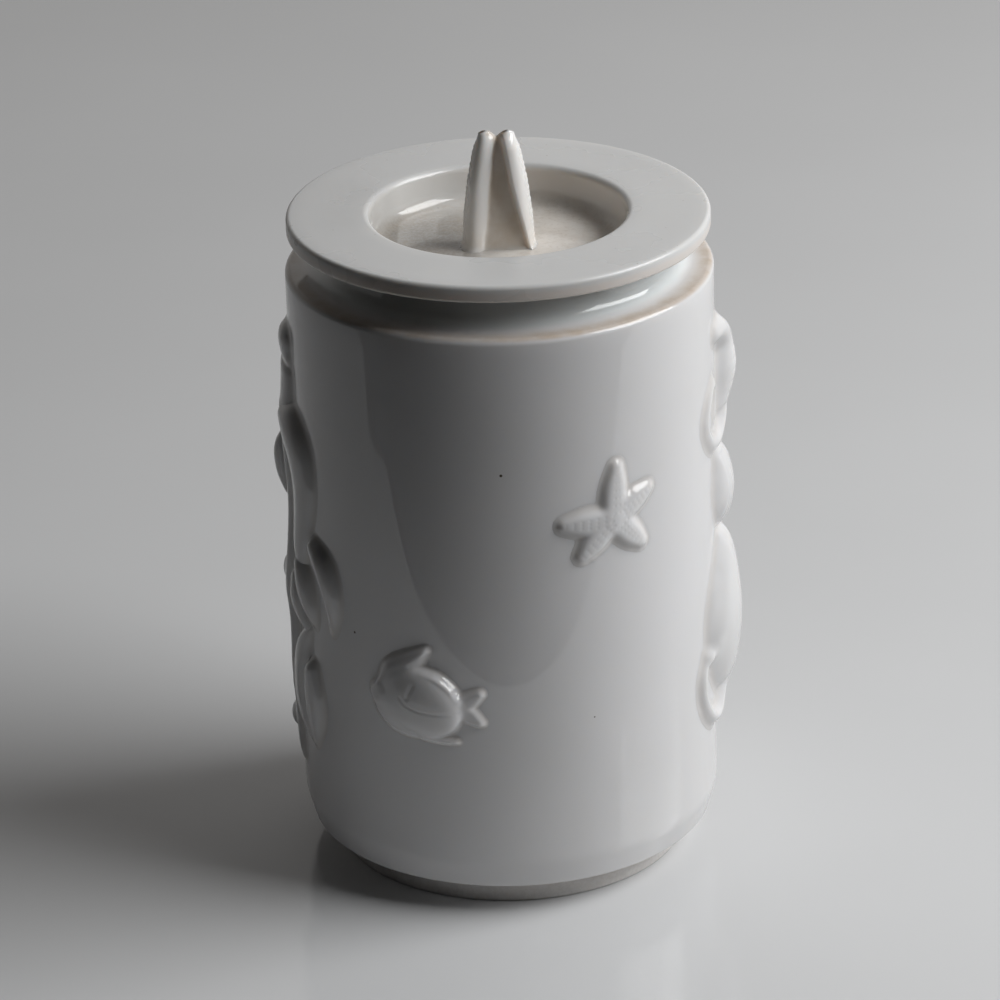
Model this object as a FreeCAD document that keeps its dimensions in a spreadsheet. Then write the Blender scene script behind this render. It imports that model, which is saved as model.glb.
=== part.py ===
import FreeCAD, Part
import math
import os

import Sketcher

# A slip-cast, white glazed porcelain jar with a loose lid.
#
# Frame: millimetres, +Z up, origin on the table at the centre of the foot ring. The side that
# carries the starfish and the round fish is the front and faces -Y. A place on the wall is an
# azimuth in degrees, 0 at the front and growing towards +X, and a height above the table.
#
# The jar and everything luted to it stays on the table; the lid dish and its fishtail knob
# lift off together.

DIMENSIONS = [
    ("outer_radius", 50.0, "outside of the jar wall"),
    ("wall", 4.0, "thickness of the jar wall"),
    ("body_height", 147.0, "height of the outer rim and its ledge"),
    ("rim_round", 1.5, "round on the outer rim"),
    ("ledge_cove", 3.7, "cove between the ledge and the neck"),
    ("neck_outer", 41.5, "outside radius of the neck"),
    ("neck_inner", 36.6, "inside radius of the neck, the mouth of the jar"),
    ("neck_top", 155.7, "height of the neck's top, where the lid sits"),
    ("neck_round", 0.7, "round on both top edges of the neck"),
    ("shoulder_under", 142.5, "height of the shoulder's underside"),
    ("shoulder_cove", 3.0, "cove under the shoulder"),
    ("shoulder_round", 2.5, "round at the lower end of the mouth"),
    ("floor_top", 9.0, "height of the inside floor"),
    ("floor_cove", 6.0, "cove round the inside floor"),
    ("foot_outer", 41.7, "outside radius of the foot ring"),
    ("foot_inner", 37.4, "inside radius of the foot ring"),
    ("foot_recess", 3.0, "height of the underside within the foot ring"),
    ("foot_round", 0.6, "round on both edges of the foot ring"),
    ("skirt_under", 6.8, "height where the foot ring meets the underside"),
    ("skirt_inset", 1.7, "how far the bottom edge stands in from the wall"),
    ("skirt_edge", 7.6, "height of the jar's bottom edge"),
    ("skirt_top", 14.0, "height where the wall starts to turn in"),
    ("skirt_round", 12.0, "large round where the wall turns in"),
    ("edge_round", 0.7, "round on the bottom edge"),
    ("cup_outer", 35.2, "outside radius of the lid's cup"),
    ("cup_under", 146.4, "height of the cup's underside"),
    ("cup_round", 3.0, "round under the cup"),
    ("flange_radius", 49.3, "outside radius of the lid's flange"),
    ("flange_thickness", 4.0, "thickness of the flange"),
    ("flange_round", 1.8, "round on the flange's top edge"),
    ("flange_under_round", 0.7, "round on the flange's lower edge"),
    ("well_radius", 29.8, "radius of the well sunk in the lid"),
    ("well_floor", 150.7, "height of the well's floor"),
    ("well_lip", 2.0, "round on the lip of the well"),
    ("well_cove", 4.5, "cove round the well's floor"),
    ("knob_foot_reach", 5.9, "distance of each ridge's centre from the axis at the knob's foot"),
    ("knob_foot_half", 2.3, "half width of a ridge at the foot"),
    ("knob_foot_depth", 4.6, "half depth of a ridge at the foot"),
    ("knob_waist_reach", 3.9, "distance of each ridge's centre from the axis at the waist"),
    ("knob_waist_half", 2.3, "half width of a ridge at the waist"),
    ("knob_waist_depth", 4.1, "half depth of a ridge at the waist"),
    ("knob_waist_height", 169.0, "height of the knob's waist"),
    ("knob_neck_reach", 2.9, "distance of each ridge's centre from the axis below its tip"),
    ("knob_neck_half", 1.6, "half width of a ridge below its tip"),
    ("knob_neck_depth", 2.6, "half depth of a ridge below its tip"),
    ("knob_neck_height", 177.8, "height where the ridges start to round over"),
    ("knob_tip_half", 0.8, "half width of a ridge's flat tip"),
    ("knob_tip_depth", 1.3, "half depth of a ridge's flat tip"),
    ("knob_top", 179.6, "height of the knob's two tips"),
    ("knob_web", 1.5, "half thickness of the web between the knob's two ridges"),
    ("knob_web_top", 177.6, "height of the web, the bottom of the fork"),
    ("star_heart", 3.6, "radius of a starfish at its middle"),
    ("star_root", 2.7, "radius of a starfish arm at its root"),
    ("star_tip", 1.6, "radius of a starfish arm just before its tip"),
    ("star_point", 0.8, "radius of a starfish arm at its very end"),
    ("fish_half_length", 11.4, "half length of a round fish's body"),
    ("fish_half_height", 9.2, "half height of a round fish's body"),
    ("fish_relief", 3.9, "how far a round fish's body stands proud"),
    ("fin_root", 2.3, "radius of a fin at its root"),
    ("fin_tip", 1.0, "radius of a fin at its tip"),
    ("seahorse_brow", 2.8, "radius of the seahorse's head"),
    ("seahorse_belly", 5.2, "radius of the seahorse's belly"),
    ("seahorse_loin", 3.0, "radius of the seahorse where its tail starts"),
    ("seahorse_tail", 2.1, "radius of the seahorse's tail in its curl"),
    ("seahorse_end", 1.2, "radius of the seahorse's tail at its end"),
    ("cockle_half_width", 8.0, "half width of the cockle shell"),
    ("cockle_half_height", 9.4, "half height of the cockle shell"),
    ("cockle_relief", 4.3, "how far the cockle shell stands proud"),
    ("conch_half_width", 13.0, "half width of the conch's large whorl"),
    ("conch_half_height", 20.0, "half height of the conch's large whorl"),
    ("conch_relief", 6.2, "how far the conch's large whorl stands proud"),
    ("conch_spire", 4.6, "radius of the conch's spire at its root"),
    ("conch_point", 1.4, "radius of the conch's spire at its point"),
    ("conch_lip", 2.1, "radius of the lip round the conch's mouth"),
    ("weed_stem", 2.4, "radius of the seaweed's stem"),
    ("weed_stem_end", 1.8, "radius of the seaweed's stem at its top end"),
    ("weed_blade", 2.9, "radius of a seaweed blade at its widest"),
    ("weed_blade_end", 1.4, "radius of a seaweed blade at its ends"),
    ("pod_half_width", 4.6, "half width of the seaweed's pod"),
    ("pod_half_height", 8.4, "half height of the seaweed's pod"),
    ("pod_relief", 4.6, "how far the pod stands proud"),
]

doc = FreeCAD.newDocument("lidded_jar")
sheet = doc.addObject("Spreadsheet::Sheet", "Dimensions")
for row, (alias, number, note) in enumerate(DIMENSIONS, start=1):
    sheet.set(f"A{row}", note)
    sheet.set(f"B{row}", str(number))
    sheet.setAlias(f"B{row}", alias)
doc.recompute()
ALIASES = {alias for alias, number, note in DIMENSIONS}

FRONT = FreeCAD.Vector(0, -1, 0)
UP = FreeCAD.Vector(0, 0, 1)


# ---------------------------------------------------------------- sums of named dimensions

def bound(total):
    """A sum of dimensions, such as 'outer_radius - wall', as an expression on the sheet."""
    return " ".join(f"Dimensions.{word}" if word in ALIASES else word for word in total.split())


def value(total):
    """The same sum as a number."""
    result, sign = 0.0, 1
    for word in total.split():
        if word in ("+", "-"):
            sign = 1 if word == "+" else -1
        else:
            result += sign * (float(sheet.get(word)) if word in ALIASES else float(word))
            sign = 1
    return result


# ---------------------------------------------------------------- sketches and lathe work

def outline(body, name, corners):
    """A closed polygon on the body's own XZ plane, each corner held by two sums."""
    sketch = body.newObject("Sketcher::SketchObject", name)
    plane = next(feature for feature in body.Origin.OriginFeatures if feature.Role == "XZ_Plane")
    sketch.AttachmentSupport = (plane, [""])
    sketch.MapMode = "FlatFace"
    points = [FreeCAD.Vector(value(across), value(up), 0) for across, up in corners]
    count = len(points)
    for index in range(count):
        sketch.addGeometry(Part.LineSegment(points[index], points[(index + 1) % count]), False)
    for index in range(count):
        joint = Sketcher.Constraint("Coincident", index, 2, (index + 1) % count, 1)
        sketch.addConstraint(joint)
    for index, (across, up) in enumerate(corners):
        for kind, total, axis in (("DistanceX", across, -2), ("DistanceY", up, -1)):
            if total == "0":
                sketch.addConstraint(Sketcher.Constraint("PointOnObject", index, 1, axis))
                continue
            held = sketch.addConstraint(
                Sketcher.Constraint(kind, -1, 1, index, 1, value(total)))
            sketch.setExpression(f"Constraints[{held}]", bound(total))
    return sketch


def turned(name, corners):
    """A body turned on the Z axis from an outline of (radius, height) corners."""
    body = doc.addObject("PartDesign::Body", name)
    sketch = outline(body, f"{name}_profile", corners)
    turn = body.newObject("PartDesign::Revolution", f"{name}_turn")
    turn.Profile = sketch
    turn.ReferenceAxis = (sketch, ["V_Axis"])
    turn.Angle = 360
    doc.recompute()
    return body


def rounded(body, radius, rings):
    """Round the circular edges at the given (radius, height) corners of a turned body."""
    base = body.Tip
    found = []
    for across, up in rings:
        for number, edge in enumerate(base.Shape.Edges, start=1):
            if isinstance(edge.Curve, Part.Circle):
                off = abs(edge.Curve.Radius - value(across)) + abs(edge.Curve.Center.z - value(up))
                if off < 0.01:
                    found.append(f"Edge{number}")
    if len(found) != len(rings):
        raise RuntimeError(f"{body.Name}: {radius} rounds {len(found)} of {len(rings)} edges")
    fillet = body.newObject("PartDesign::Fillet", f"{body.Name}_{radius}")
    fillet.Base = (base, found)
    fillet.setExpression("Radius", bound(radius))
    doc.recompute()


def jar_body():
    """Wall, floor, foot ring, ledge, cove and neck: one hollow casting."""
    inner = "outer_radius - wall"
    body = turned("jar_body", [
        ("0", "foot_recess"),
        ("foot_inner", "foot_recess"),
        ("foot_inner", "0"),
        ("foot_outer", "0"),
        ("foot_outer", "skirt_under"),
        ("outer_radius - skirt_inset", "skirt_edge"),
        ("outer_radius", "skirt_top"),
        ("outer_radius", "body_height"),
        ("neck_outer", "body_height"),
        ("neck_outer", "neck_top"),
        ("neck_inner", "neck_top"),
        ("neck_inner", "shoulder_under"),
        (inner, "shoulder_under"),
        (inner, "floor_top"),
        ("0", "floor_top"),
    ])
    rounded(body, "skirt_round", [("outer_radius", "skirt_top")])
    rounded(body, "edge_round", [("outer_radius - skirt_inset", "skirt_edge")])
    rounded(body, "foot_round", [("foot_inner", "0"), ("foot_outer", "0")])
    rounded(body, "rim_round", [("outer_radius", "body_height")])
    rounded(body, "ledge_cove", [("neck_outer", "body_height")])
    rounded(body, "neck_round", [("neck_outer", "neck_top"), ("neck_inner", "neck_top")])
    rounded(body, "shoulder_round", [("neck_inner", "shoulder_under")])
    rounded(body, "shoulder_cove", [(inner, "shoulder_under")])
    rounded(body, "floor_cove", [(inner, "floor_top")])
    return body


def lid_dish():
    """Flange, well and the cup that drops into the neck: one casting."""
    top = "neck_top + flange_thickness"
    body = turned("lid_dish", [
        ("0", "cup_under"),
        ("cup_outer", "cup_under"),
        ("cup_outer", "neck_top"),
        ("flange_radius", "neck_top"),
        ("flange_radius", top),
        ("well_radius", top),
        ("well_radius", "well_floor"),
        ("0", "well_floor"),
    ])
    rounded(body, "cup_round", [("cup_outer", "cup_under")])
    rounded(body, "flange_under_round", [("flange_radius", "neck_top")])
    rounded(body, "flange_round", [("flange_radius", top)])
    rounded(body, "well_lip", [("well_radius", top)])
    rounded(body, "well_cove", [("well_radius", "well_floor")])
    return body


# ---------------------------------------------------------------- the fishtail knob

def tail_ridge(name, side):
    """One thick edge of the tail, lofted through upright-growing ellipses; side is -1 or +1."""
    slices = []
    for level, height in (("foot", "well_floor"), ("waist", "knob_waist_height"),
                          ("neck", "knob_neck_height"), ("tip", "knob_top")):
        ellipse = doc.addObject("Part::Ellipse", f"{name}_{level}")
        ellipse.setExpression("MajorRadius", bound(f"knob_{level}_depth"))
        ellipse.setExpression("MinorRadius", bound(f"knob_{level}_half"))
        reach = value("knob_neck_reach" if level == "tip" else f"knob_{level}_reach")
        centre = FreeCAD.Vector(side * reach, 0, value(height))
        ellipse.Placement = FreeCAD.Placement(centre, FreeCAD.Rotation(UP, 90))
        slices.append(ellipse)
    ridge = doc.addObject("Part::Loft", name)
    ridge.Sections = slices
    ridge.Solid = True
    return ridge


def fishtail_knob():
    """A tail standing on the well's floor: two ridges, and a thin web that ends below them."""
    web = doc.addObject("Part::Wedge", "tail_web")
    for field, total in (
        ("Xmin", "- knob_foot_reach"), ("Xmax", "knob_foot_reach"),
        ("X2min", "- knob_neck_reach"), ("X2max", "knob_neck_reach"),
        ("Ymin", "well_floor"), ("Ymax", "knob_web_top"),
        ("Zmin", "- knob_web"), ("Zmax", "knob_web"),
        ("Z2min", "- knob_web"), ("Z2max", "knob_web"),
    ):
        web.setExpression(field, bound(total))
    web.Placement = FreeCAD.Placement(FreeCAD.Vector(), FreeCAD.Rotation(FreeCAD.Vector(1, 0, 0), 90))
    knob = doc.addObject("Part::MultiFuse", "fishtail_knob")
    knob.Shapes = [tail_ridge("tail_ridge_left", -1), web, tail_ridge("tail_ridge_right", 1)]
    doc.recompute()
    return knob


# ---------------------------------------------------------------- clay sprigs on the wall

wall_core = doc.addObject("Part::Cylinder", "wall_core")
wall_core.setExpression("Radius", bound("outer_radius"))
wall_core.setExpression("Height", bound("neck_top"))


def on_wall(azimuth, height):
    """The point of the wall at an azimuth and a height."""
    turn = math.radians(azimuth)
    radius = value("outer_radius")
    return FreeCAD.Vector(radius * math.sin(turn), -radius * math.cos(turn), height)


def dome(name, place, across, up, proud, lean=0.0):
    """An ellipsoid centred on the wall: half width, half height and relief, leant clockwise."""
    azimuth, height = place
    shape = doc.addObject("Part::Ellipsoid", name)
    shape.Angle1, shape.Angle2, shape.Angle3 = -90, 90, 360
    for field, total in (("Radius1", up), ("Radius2", across), ("Radius3", proud)):
        shape.setExpression(field, bound(total))
    turn = FreeCAD.Rotation(UP, azimuth) * FreeCAD.Rotation(FRONT, -lean)
    shape.Placement = FreeCAD.Placement(on_wall(azimuth, height), turn)
    return shape


def ball(name, place, radius):
    """A ball centred on the wall."""
    shape = doc.addObject("Part::Sphere", name)
    shape.setExpression("Radius", bound(radius))
    shape.Placement = FreeCAD.Placement(on_wall(*place), FreeCAD.Rotation())
    return shape


def strand(name, places, radii):
    """A round clay roll lofted through circles along the wall, half sunk in it."""
    centres = [on_wall(*place) for place in places]
    rings = []
    for i, (centre, (azimuth, height)) in enumerate(zip(centres, places)):
        outward = FreeCAD.Vector(centre.x, centre.y, 0)
        along = centres[min(i + 1, len(centres) - 1)] - centres[max(i - 1, 0)]
        ring = doc.addObject("Part::Circle", f"{name}_ring_{i}")
        ring.setExpression("Radius", bound(radii[i]))
        turn = FreeCAD.Rotation(outward, along.cross(outward), along, "ZXY")
        ring.Placement = FreeCAD.Placement(centre, turn)
        rings.append(ring)
    roll = doc.addObject("Part::Loft", f"{name}_roll")
    roll.Sections = rings
    roll.Solid = True
    return roll


modelled = {}


def sprig(label, pieces, clear_of=()):
    """Fuse the pieces, then cut away what lies in an earlier sprig or inside the wall."""
    solid = pieces[0]
    if len(pieces) > 1:
        solid = doc.addObject("Part::MultiFuse", f"{label}_fused")
        solid.Shapes = pieces
    modelled[label] = solid
    for tool in [modelled[other] for other in clear_of] + [wall_core]:
        cut = doc.addObject("Part::Cut", f"{label}_cut")
        cut.Base, cut.Tool = solid, tool
        solid = cut
    solid.Label = label
    doc.recompute()
    return solid


def starfish(label, place, arms):
    """Five half-round tapering arms, each an (angle from level, length) pair."""
    azimuth, height = place
    pieces = [ball(f"{label}_heart", place, "star_heart")]
    for i, (angle, length) in enumerate(arms):
        across = math.degrees(length * math.cos(math.radians(angle)) / value("outer_radius"))
        up = length * math.sin(math.radians(angle))
        places = [(azimuth + part * across, height + part * up) for part in (0, 0.8, 1)]
        pieces.append(strand(f"{label}_arm_{i}", places, ["star_root", "star_tip", "star_point"]))
    return sprig(label, pieces)


def round_fish(label, place, facing):
    """A round fish; facing is -1 when its head points to smaller azimuths, +1 to larger."""
    azimuth, height = place

    def spot(across, up):
        return (azimuth - facing * math.degrees(across / value("outer_radius")), height + up)

    pieces = [dome(f"{label}_body", place, "fish_half_length", "fish_half_height", "fish_relief")]
    fins = {"tail_high": ((9.5, 0.0), (15.2, 3.6)), "tail_low": ((9.5, 0.0), (15.2, -3.4)),
            "back_fin": ((-0.5, 7.0), (2.8, 12.6)), "belly_fin": ((3.5, -7.0), (8.4, -8.2))}
    for fin, (root, tip) in fins.items():
        pieces.append(strand(f"{label}_{fin}", [spot(*root), spot(*tip)], ["fin_root", "fin_tip"]))
    return sprig(label, pieces)


def seahorse(label):
    """Head, belly and a tail that curls into a hook with its end pointing up."""
    places = [(88, 131), (92, 126), (92, 119), (91, 111), (90, 105.5),
              (84, 101.8), (76.5, 103.3), (73, 109), (77, 114.5)]
    radii = ["seahorse_brow", "seahorse_loin + seahorse_end", "seahorse_belly", "seahorse_loin",
             "seahorse_loin", "seahorse_tail", "seahorse_tail", "seahorse_tail", "seahorse_end"]
    return sprig(label, [strand(label, places, radii)])


def cockle_shell(label):
    """A rounded fan with a small beak under it."""
    fan = dome(f"{label}_fan", (92, 88.2), "cockle_half_width", "cockle_half_height",
               "cockle_relief")
    return sprig(label, [fan])


def conch_shell(label, clear_of):
    """A large whorl with a pointed spire above and a lipped mouth at its lower left."""
    whorl = dome(f"{label}_whorl", (83.5, 56.0), "conch_half_width", "conch_half_height",
                 "conch_relief", -6.0)
    spire = strand(f"{label}_spire", [(86, 68), (79, 80.5)], ["conch_spire", "conch_point"])
    lip = strand(f"{label}_lip", [(71.6, 51), (68.5, 44), (71, 37), (77, 33.2), (84, 37)],
                 ["conch_lip"] * 5)
    return sprig(label, [whorl, spire, lip], clear_of)


def seaweed():
    """One tall stem, a ribbon, a pod and four leaves, each clear of the ones before it."""
    chains = [
        ("seaweed_stem", [(-84, 23.5), (-87, 44), (-84, 66), (-89, 88), (-84, 110), (-88, 130.5)]),
        ("seaweed_ribbon", [(-79, 126), (-73, 112), (-68.5, 100), (-70, 88), (-75, 79)]),
        ("seaweed_leaf_high", [(-69, 81), (-63, 78), (-55, 73)]),
        ("seaweed_leaf_middle", [(-77, 73), (-70, 69), (-62, 64)]),
        ("seaweed_leaf_low", [(-72, 59.5), (-77, 50), (-76, 38), (-81, 27)]),
        ("seaweed_leaf_inner", [(-70, 52), (-65, 44), (-65, 36), (-70, 29)]),
    ]
    made = []
    for label, places in chains:
        middle, end = "weed_blade", "weed_blade_end"
        if label == "seaweed_stem":
            middle, end = "weed_stem", "weed_stem_end"
        radii = [end] + [middle] * (len(places) - 2) + [end]
        before = [part.Label for part in made]
        made.append(sprig(label, [strand(label, places, radii)], before))
    pod = dome("pod", (-94, 97.2), "pod_half_width", "pod_half_height", "pod_relief")
    made.append(sprig("seaweed_pod", [pod], ["seaweed_stem"]))
    return made


def build():
    """Every piece of the jar, in the order it would be made."""
    parts = [jar_body(), lid_dish(), fishtail_knob()]
    parts.append(starfish("starfish_front", (30.4, 99.9),
                          [(90, 14.2), (30, 10.9), (-49, 11.6), (-139, 13.2), (179, 13.7)]))
    parts.append(round_fish("fish_front", (-25.5, 55.2), -1))
    parts.append(seahorse("seahorse"))
    parts.append(cockle_shell("cockle_shell"))
    parts.append(conch_shell("conch_shell", ["cockle_shell"]))
    parts += seaweed()
    parts.append(starfish("starfish_back", (158.0, 58.0),
                          [(82, 12.4), (12, 11.0), (-62, 12.0), (-134, 11.6), (152, 12.2)]))
    parts.append(round_fish("fish_back", (-152.0, 104.0), 1))
    return parts


def check(parts):
    """Stop before anything is written if any feature failed or any piece is not one solid."""
    for feature in doc.Objects:
        if "Invalid" in feature.State or "Error" in feature.State:
            raise RuntimeError(f"{feature.Name} failed: {feature.State}")
    for part in parts:
        shape = part.Shape
        if shape.isNull() or not shape.isValid() or len(shape.Solids) != 1:
            raise RuntimeError(f"{part.Label} is not one valid solid")
        print(f"{part.Label}: {shape.Volume / 1000:.2f} cm3")


pieces_made = build()
doc.recompute()
check(pieces_made)
os.makedirs("parts", exist_ok=True)
for piece in pieces_made:
    piece.Shape.exportStep(f"parts/{piece.Label}.step")
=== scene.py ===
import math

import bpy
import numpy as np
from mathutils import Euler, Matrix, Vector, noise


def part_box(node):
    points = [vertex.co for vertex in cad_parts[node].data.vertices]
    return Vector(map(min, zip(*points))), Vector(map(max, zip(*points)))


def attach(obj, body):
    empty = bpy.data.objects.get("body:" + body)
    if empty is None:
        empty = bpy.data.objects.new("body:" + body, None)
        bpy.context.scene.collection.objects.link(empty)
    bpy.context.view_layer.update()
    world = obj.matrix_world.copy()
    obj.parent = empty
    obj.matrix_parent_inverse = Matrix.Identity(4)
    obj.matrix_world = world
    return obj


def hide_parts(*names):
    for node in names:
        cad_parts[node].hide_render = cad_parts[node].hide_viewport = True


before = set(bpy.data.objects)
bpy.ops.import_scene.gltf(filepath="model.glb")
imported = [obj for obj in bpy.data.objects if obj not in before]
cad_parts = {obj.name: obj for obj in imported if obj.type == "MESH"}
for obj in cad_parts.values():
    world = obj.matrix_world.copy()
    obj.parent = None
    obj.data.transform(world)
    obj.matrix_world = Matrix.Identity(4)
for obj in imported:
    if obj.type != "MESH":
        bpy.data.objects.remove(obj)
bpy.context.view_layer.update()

# A white porcelain jar with sea-creature reliefs and a loose lid with a fishtail knob.
# The CAD solids' boxes give the main sizes. This script makes smooth glazed surfaces in their
# stead: the jar and lid are lathed, each relief is a sculpted patch of clay on the wall, and the
# knob is shaped column by column. Shapes are written in millimetres and scaled by MM.

MM = 0.001
SEGMENTS = 360                        # facets round the lathed pieces

# ---------------------------------------------------------------- sizes from the frame

def corners_of(node):
    """A CAD node's lowest and highest corners, in millimetres."""
    return [[value / MM for value in corner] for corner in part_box(node)]


_, jar_high = corners_of("jar_body")
lid_low, lid_high = corners_of("lid_dish")
knob_low, knob_high = corners_of("fishtail_knob")

WALL_RADIUS = jar_high[0]
NECK_TOP = jar_high[2]
LID_TOP = lid_high[2]
CUP_UNDER = lid_low[2]
FLANGE_RADIUS = lid_high[0]
WELL_FLOOR = knob_low[2]
KNOB_TOP = knob_high[2]
RIM_HEIGHT = 147.0                    # the ledge round the neck, below the lid


# ---------------------------------------------------------------- mesh helpers

def new_mesh(name, verts, faces, material, smooth=True):
    """A mesh object from millimetre coordinates."""
    mesh = bpy.data.meshes.new(name)
    mesh.from_pydata((np.asarray(verts, float) * MM).tolist(), [], [list(f) for f in faces])
    mesh.validate()
    if smooth:
        mesh.polygons.foreach_set("use_smooth", [True] * len(mesh.polygons))
    mesh.materials.append(material)
    piece = bpy.data.objects.new(name, mesh)
    bpy.context.scene.collection.objects.link(piece)
    return piece


def rounded(corners, steps=7):
    """An outline of (radius, height, round) corners, with an arc at each rounded one."""
    points = []
    for i, (across, up, size) in enumerate(corners):
        here = np.array([across, up], float)
        if size == 0 or i in (0, len(corners) - 1):
            points.append(here)
            continue
        before = np.array(corners[i - 1][:2], float) - here
        after = np.array(corners[i + 1][:2], float) - here
        before /= np.linalg.norm(before)
        after /= np.linalg.norm(after)
        half = math.acos(np.clip(before @ after, -1, 1)) / 2
        centre = here + (before + after) / np.linalg.norm(before + after) * size / math.sin(half)
        start = here + before * size / math.tan(half)
        end = here + after * size / math.tan(half)
        first = math.atan2(*(start - centre)[::-1])
        sweep = math.atan2(*(end - centre)[::-1]) - first
        sweep = (sweep + math.pi) % (2 * math.pi) - math.pi
        for step in range(steps + 1):
            angle = first + sweep * step / steps
            points.append(centre + size * np.array([math.cos(angle), math.sin(angle)]))
    return points


def refined(points, longest):
    """The same outline with no straight run longer than the given length."""
    result = [points[0]]
    for start, end in zip(points, points[1:]):
        count = max(1, math.ceil(np.linalg.norm(end - start) / longest))
        result += [start + (end - start) * step / count for step in range(1, count + 1)]
    return result


def lathe(name, corners, material, shift=None, longest=4.0):
    """Turn an outline that starts and ends on the axis into a closed shell."""
    outline = refined(rounded(corners), longest)
    inner = outline[1:-1]
    turns = np.linspace(0, 2 * math.pi, SEGMENTS, endpoint=False)
    verts = []
    for across, up in inner:
        for turn in turns:
            radius = across + (shift(turn, up) if shift and across > WALL_RADIUS - 0.2 else 0)
            verts.append((radius * math.sin(turn), -radius * math.cos(turn), up))
    faces = []
    for ring in range(len(inner) - 1):
        for k in range(SEGMENTS):
            a, b = ring * SEGMENTS + k, ring * SEGMENTS + (k + 1) % SEGMENTS
            faces.append((a, b, b + SEGMENTS, a + SEGMENTS))
    last = (len(inner) - 1) * SEGMENTS
    for end, ring in ((outline[0], 0), (outline[-1], last)):
        hub = len(verts)
        verts.append((0, 0, end[1]))
        for k in range(SEGMENTS):
            a, b = ring + k, ring + (k + 1) % SEGMENTS
            faces.append((hub, b, a) if ring == 0 else (hub, a, b))
    return new_mesh(name, verts, faces, material)


def stand_for(piece, node, body):
    """Put a piece in the place of a CAD node, on its body."""
    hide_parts(node)
    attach(piece, body)


# ---------------------------------------------------------------- material helpers

class Shader:
    """A short hand for building a node material."""

    def __init__(self, name):
        self.material = bpy.data.materials.new(name)
        self.material.use_nodes = True
        self.tree = self.material.node_tree
        self.tree.nodes.clear()
        self.output = self.add("ShaderNodeOutputMaterial")
        self.place = self.add("ShaderNodeTexCoord").outputs["Object"]

    def add(self, kind, **settings):
        node = self.tree.nodes.new(kind)
        for key, setting in settings.items():
            setattr(node, key, setting)
        return node

    def feed(self, socket, source):
        if isinstance(source, bpy.types.NodeSocket):
            self.tree.links.new(source, socket)
        else:
            socket.default_value = source

    def math(self, operation, *sources):
        node = self.add("ShaderNodeMath", operation=operation)
        for socket, source in zip(node.inputs, sources):
            self.feed(socket, source)
        return node.outputs[0]

    def noise(self, scale, detail=3.0, roughness=0.5):
        """Cloudy noise from 0 to 1; scale is in clouds a metre."""
        node = self.add("ShaderNodeTexNoise")
        self.feed(node.inputs["Vector"], self.place)
        node.inputs["Scale"].default_value = scale
        node.inputs["Detail"].default_value = detail
        node.inputs["Roughness"].default_value = roughness
        return node.outputs["Fac"]

    def ramp(self, source, low, high, start=0.0, end=1.0, style="SMOOTHSTEP"):
        """Map source from low..high to start..end, held at both ends."""
        node = self.add("ShaderNodeMapRange", interpolation_type=style)
        for key, entry in (("Value", source), ("From Min", low), ("From Max", high),
                           ("To Min", start), ("To Max", end)):
            self.feed(node.inputs[key], entry)
        return node.outputs["Result"]

    def mix(self, amount, first, second):
        node = self.add("ShaderNodeMix", data_type="RGBA")
        self.feed(node.inputs["Factor"], amount)
        self.feed(node.inputs["A"], first)
        self.feed(node.inputs["B"], second)
        return node.outputs["Result"]

    def axes(self):
        """The place along x, to the right, along y, to the back, and along z, up."""
        parts = self.add("ShaderNodeSeparateXYZ")
        self.feed(parts.inputs[0], self.place)
        return parts.outputs["X"], parts.outputs["Y"], parts.outputs["Z"]

    def radius(self):
        """Distance from the jar's axis."""
        x, y, _ = self.axes()
        square = self.math("ADD", self.math("MULTIPLY", x, x), self.math("MULTIPLY", y, y))
        return self.math("SQRT", square)

    def specks(self, scale, size, share):
        """Sparse round specks: 1 inside a speck, 0 elsewhere; share is the part that shows."""
        cells = self.add("ShaderNodeTexVoronoi")
        self.feed(cells.inputs["Vector"], self.place)
        cells.inputs["Scale"].default_value = scale
        near = self.ramp(cells.outputs["Distance"], size * 0.6, size, 1.0, 0.0)
        lot = self.add("ShaderNodeSeparateColor")
        self.feed(lot.inputs[0], cells.outputs["Color"])
        return self.math("MULTIPLY", near, self.math("LESS_THAN", lot.outputs[0], share))

    def pinhole(self, azimuth, up, size):
        """A single dark pinhole in the glaze at a place on the wall, in millimetres."""
        turn = math.radians(azimuth)
        away = self.add("ShaderNodeVectorMath", operation="DISTANCE")
        self.feed(away.inputs[0], self.place)
        away.inputs[1].default_value = (WALL_RADIUS * MM * math.sin(turn),
                                        -WALL_RADIUS * MM * math.cos(turn), up * MM)
        return self.ramp(away.outputs["Value"], size * 0.5 * MM, size * MM, 1.0, 0.0)

    def finish(self, color, roughness, bump, bump_distance, subsurface=0.0):
        """Join colour, roughness and bump to a glaze shader; distances are in metres."""
        surface = self.add("ShaderNodeBsdfPrincipled")
        self.feed(surface.inputs["Base Color"], color)
        self.feed(surface.inputs["Roughness"], roughness)
        surface.inputs["IOR"].default_value = GLAZE_IOR
        if subsurface:
            surface.inputs["Subsurface Weight"].default_value = subsurface
            surface.inputs["Subsurface Radius"].default_value = (1.0, 0.9, 0.8)
            surface.inputs["Subsurface Scale"].default_value = GLOW_DEPTH
        bumper = self.add("ShaderNodeBump")
        bumper.inputs["Distance"].default_value = bump_distance
        self.feed(bumper.inputs["Height"], bump)
        self.feed(surface.inputs["Normal"], bumper.outputs["Normal"])
        self.feed(self.output.inputs["Surface"], surface.outputs[0])
        return self.material


def rgb(red, green, blue):
    return (red, green, blue, 1.0)


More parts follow.
